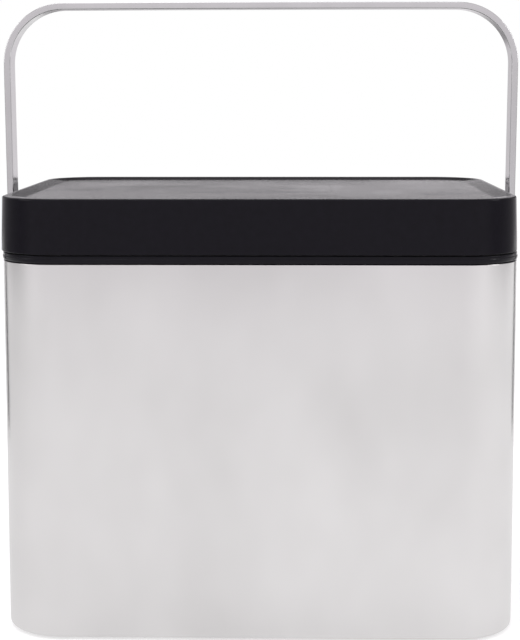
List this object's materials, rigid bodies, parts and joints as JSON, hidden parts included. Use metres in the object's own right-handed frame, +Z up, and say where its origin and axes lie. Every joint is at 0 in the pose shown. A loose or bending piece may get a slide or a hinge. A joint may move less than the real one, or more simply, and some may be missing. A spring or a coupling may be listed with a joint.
{
  "type": "compost caddy",
  "caption": "Rectangular steel kitchen compost caddy with rounded corners, a hinged black lid, a lift-out inner bucket and a flat steel strap handle that swings down.",
  "frame": {"origin": "on the floor, under the middle of the whole object's box with its rear hinges; the body's centre line lies 4 mm in front of it", "axes": "+Z up, +X to the caddy's right seen from its front, +Y to its back, where the hinges are"},
  "size_m": [0.2588, 0.1886, 0.2983],
  "materials": {
    "body_steel": "soft polished stainless steel",
    "handle_steel": "polished stainless strap",
    "pin_steel": "bright zinc",
    "black_plastic": "black satin moulding",
    "inner_plastic": "dark grey satin moulding",
    "bucket_plastic": "grey satin moulding",
    "washer_plastic": "natural nylon",
    "foot_rubber": "black rubber",
    "seal_rubber": "grey silicone rubber",
    "filter_pad": "charcoal felt"
  },
  "bodies": {
    "caddy_body": {"outer_body": "body_steel", "base_plate": "inner_plastic", "foot_front_left": "foot_rubber", "foot_front_right": "foot_rubber", "foot_rear_left": "foot_rubber", "foot_rear_right": "foot_rubber", "collar": "black_plastic", "inner_bucket": "bucket_plastic", "left_pivot_pin": "pin_steel", "right_pivot_pin": "pin_steel", "left_pivot_nut": "pin_steel", "right_pivot_nut": "pin_steel", "left_pivot_washer": "washer_plastic", "right_pivot_washer": "washer_plastic", "left_hinge_pin": "pin_steel", "right_hinge_pin": "pin_steel"},
    "handle": {"handle_strap": "handle_steel"},
    "lid": {"lid_shell": "black_plastic", "lid_liner": "inner_plastic", "lid_screws": "pin_steel", "lid_seal": "seal_rubber", "centre_plate": "black_plastic", "charcoal_filter": "filter_pad"},
    "filter_door": {"filter_cover": "inner_plastic"}
  },
  "joints": [
    {"name": "handle_swing", "type": "hinge", "parent": "caddy_body", "child": "handle", "pos_m": [0, -0.004, 0.169], "axis": [1, 0, 0], "range_deg": [-130, 130]},
    {"name": "lid_hinge", "type": "hinge", "parent": "caddy_body", "child": "lid", "pos_m": [0, 0.0905, 0.1815], "axis": [-1, 0, 0], "range_deg": [0, 35]},
    {"name": "filter_cover_hinge", "type": "hinge", "parent": "lid", "child": "filter_door", "pos_m": [0, 0.042, 0.1871], "axis": [1, 0, 0], "range_deg": [0, 90]}
  ]
}
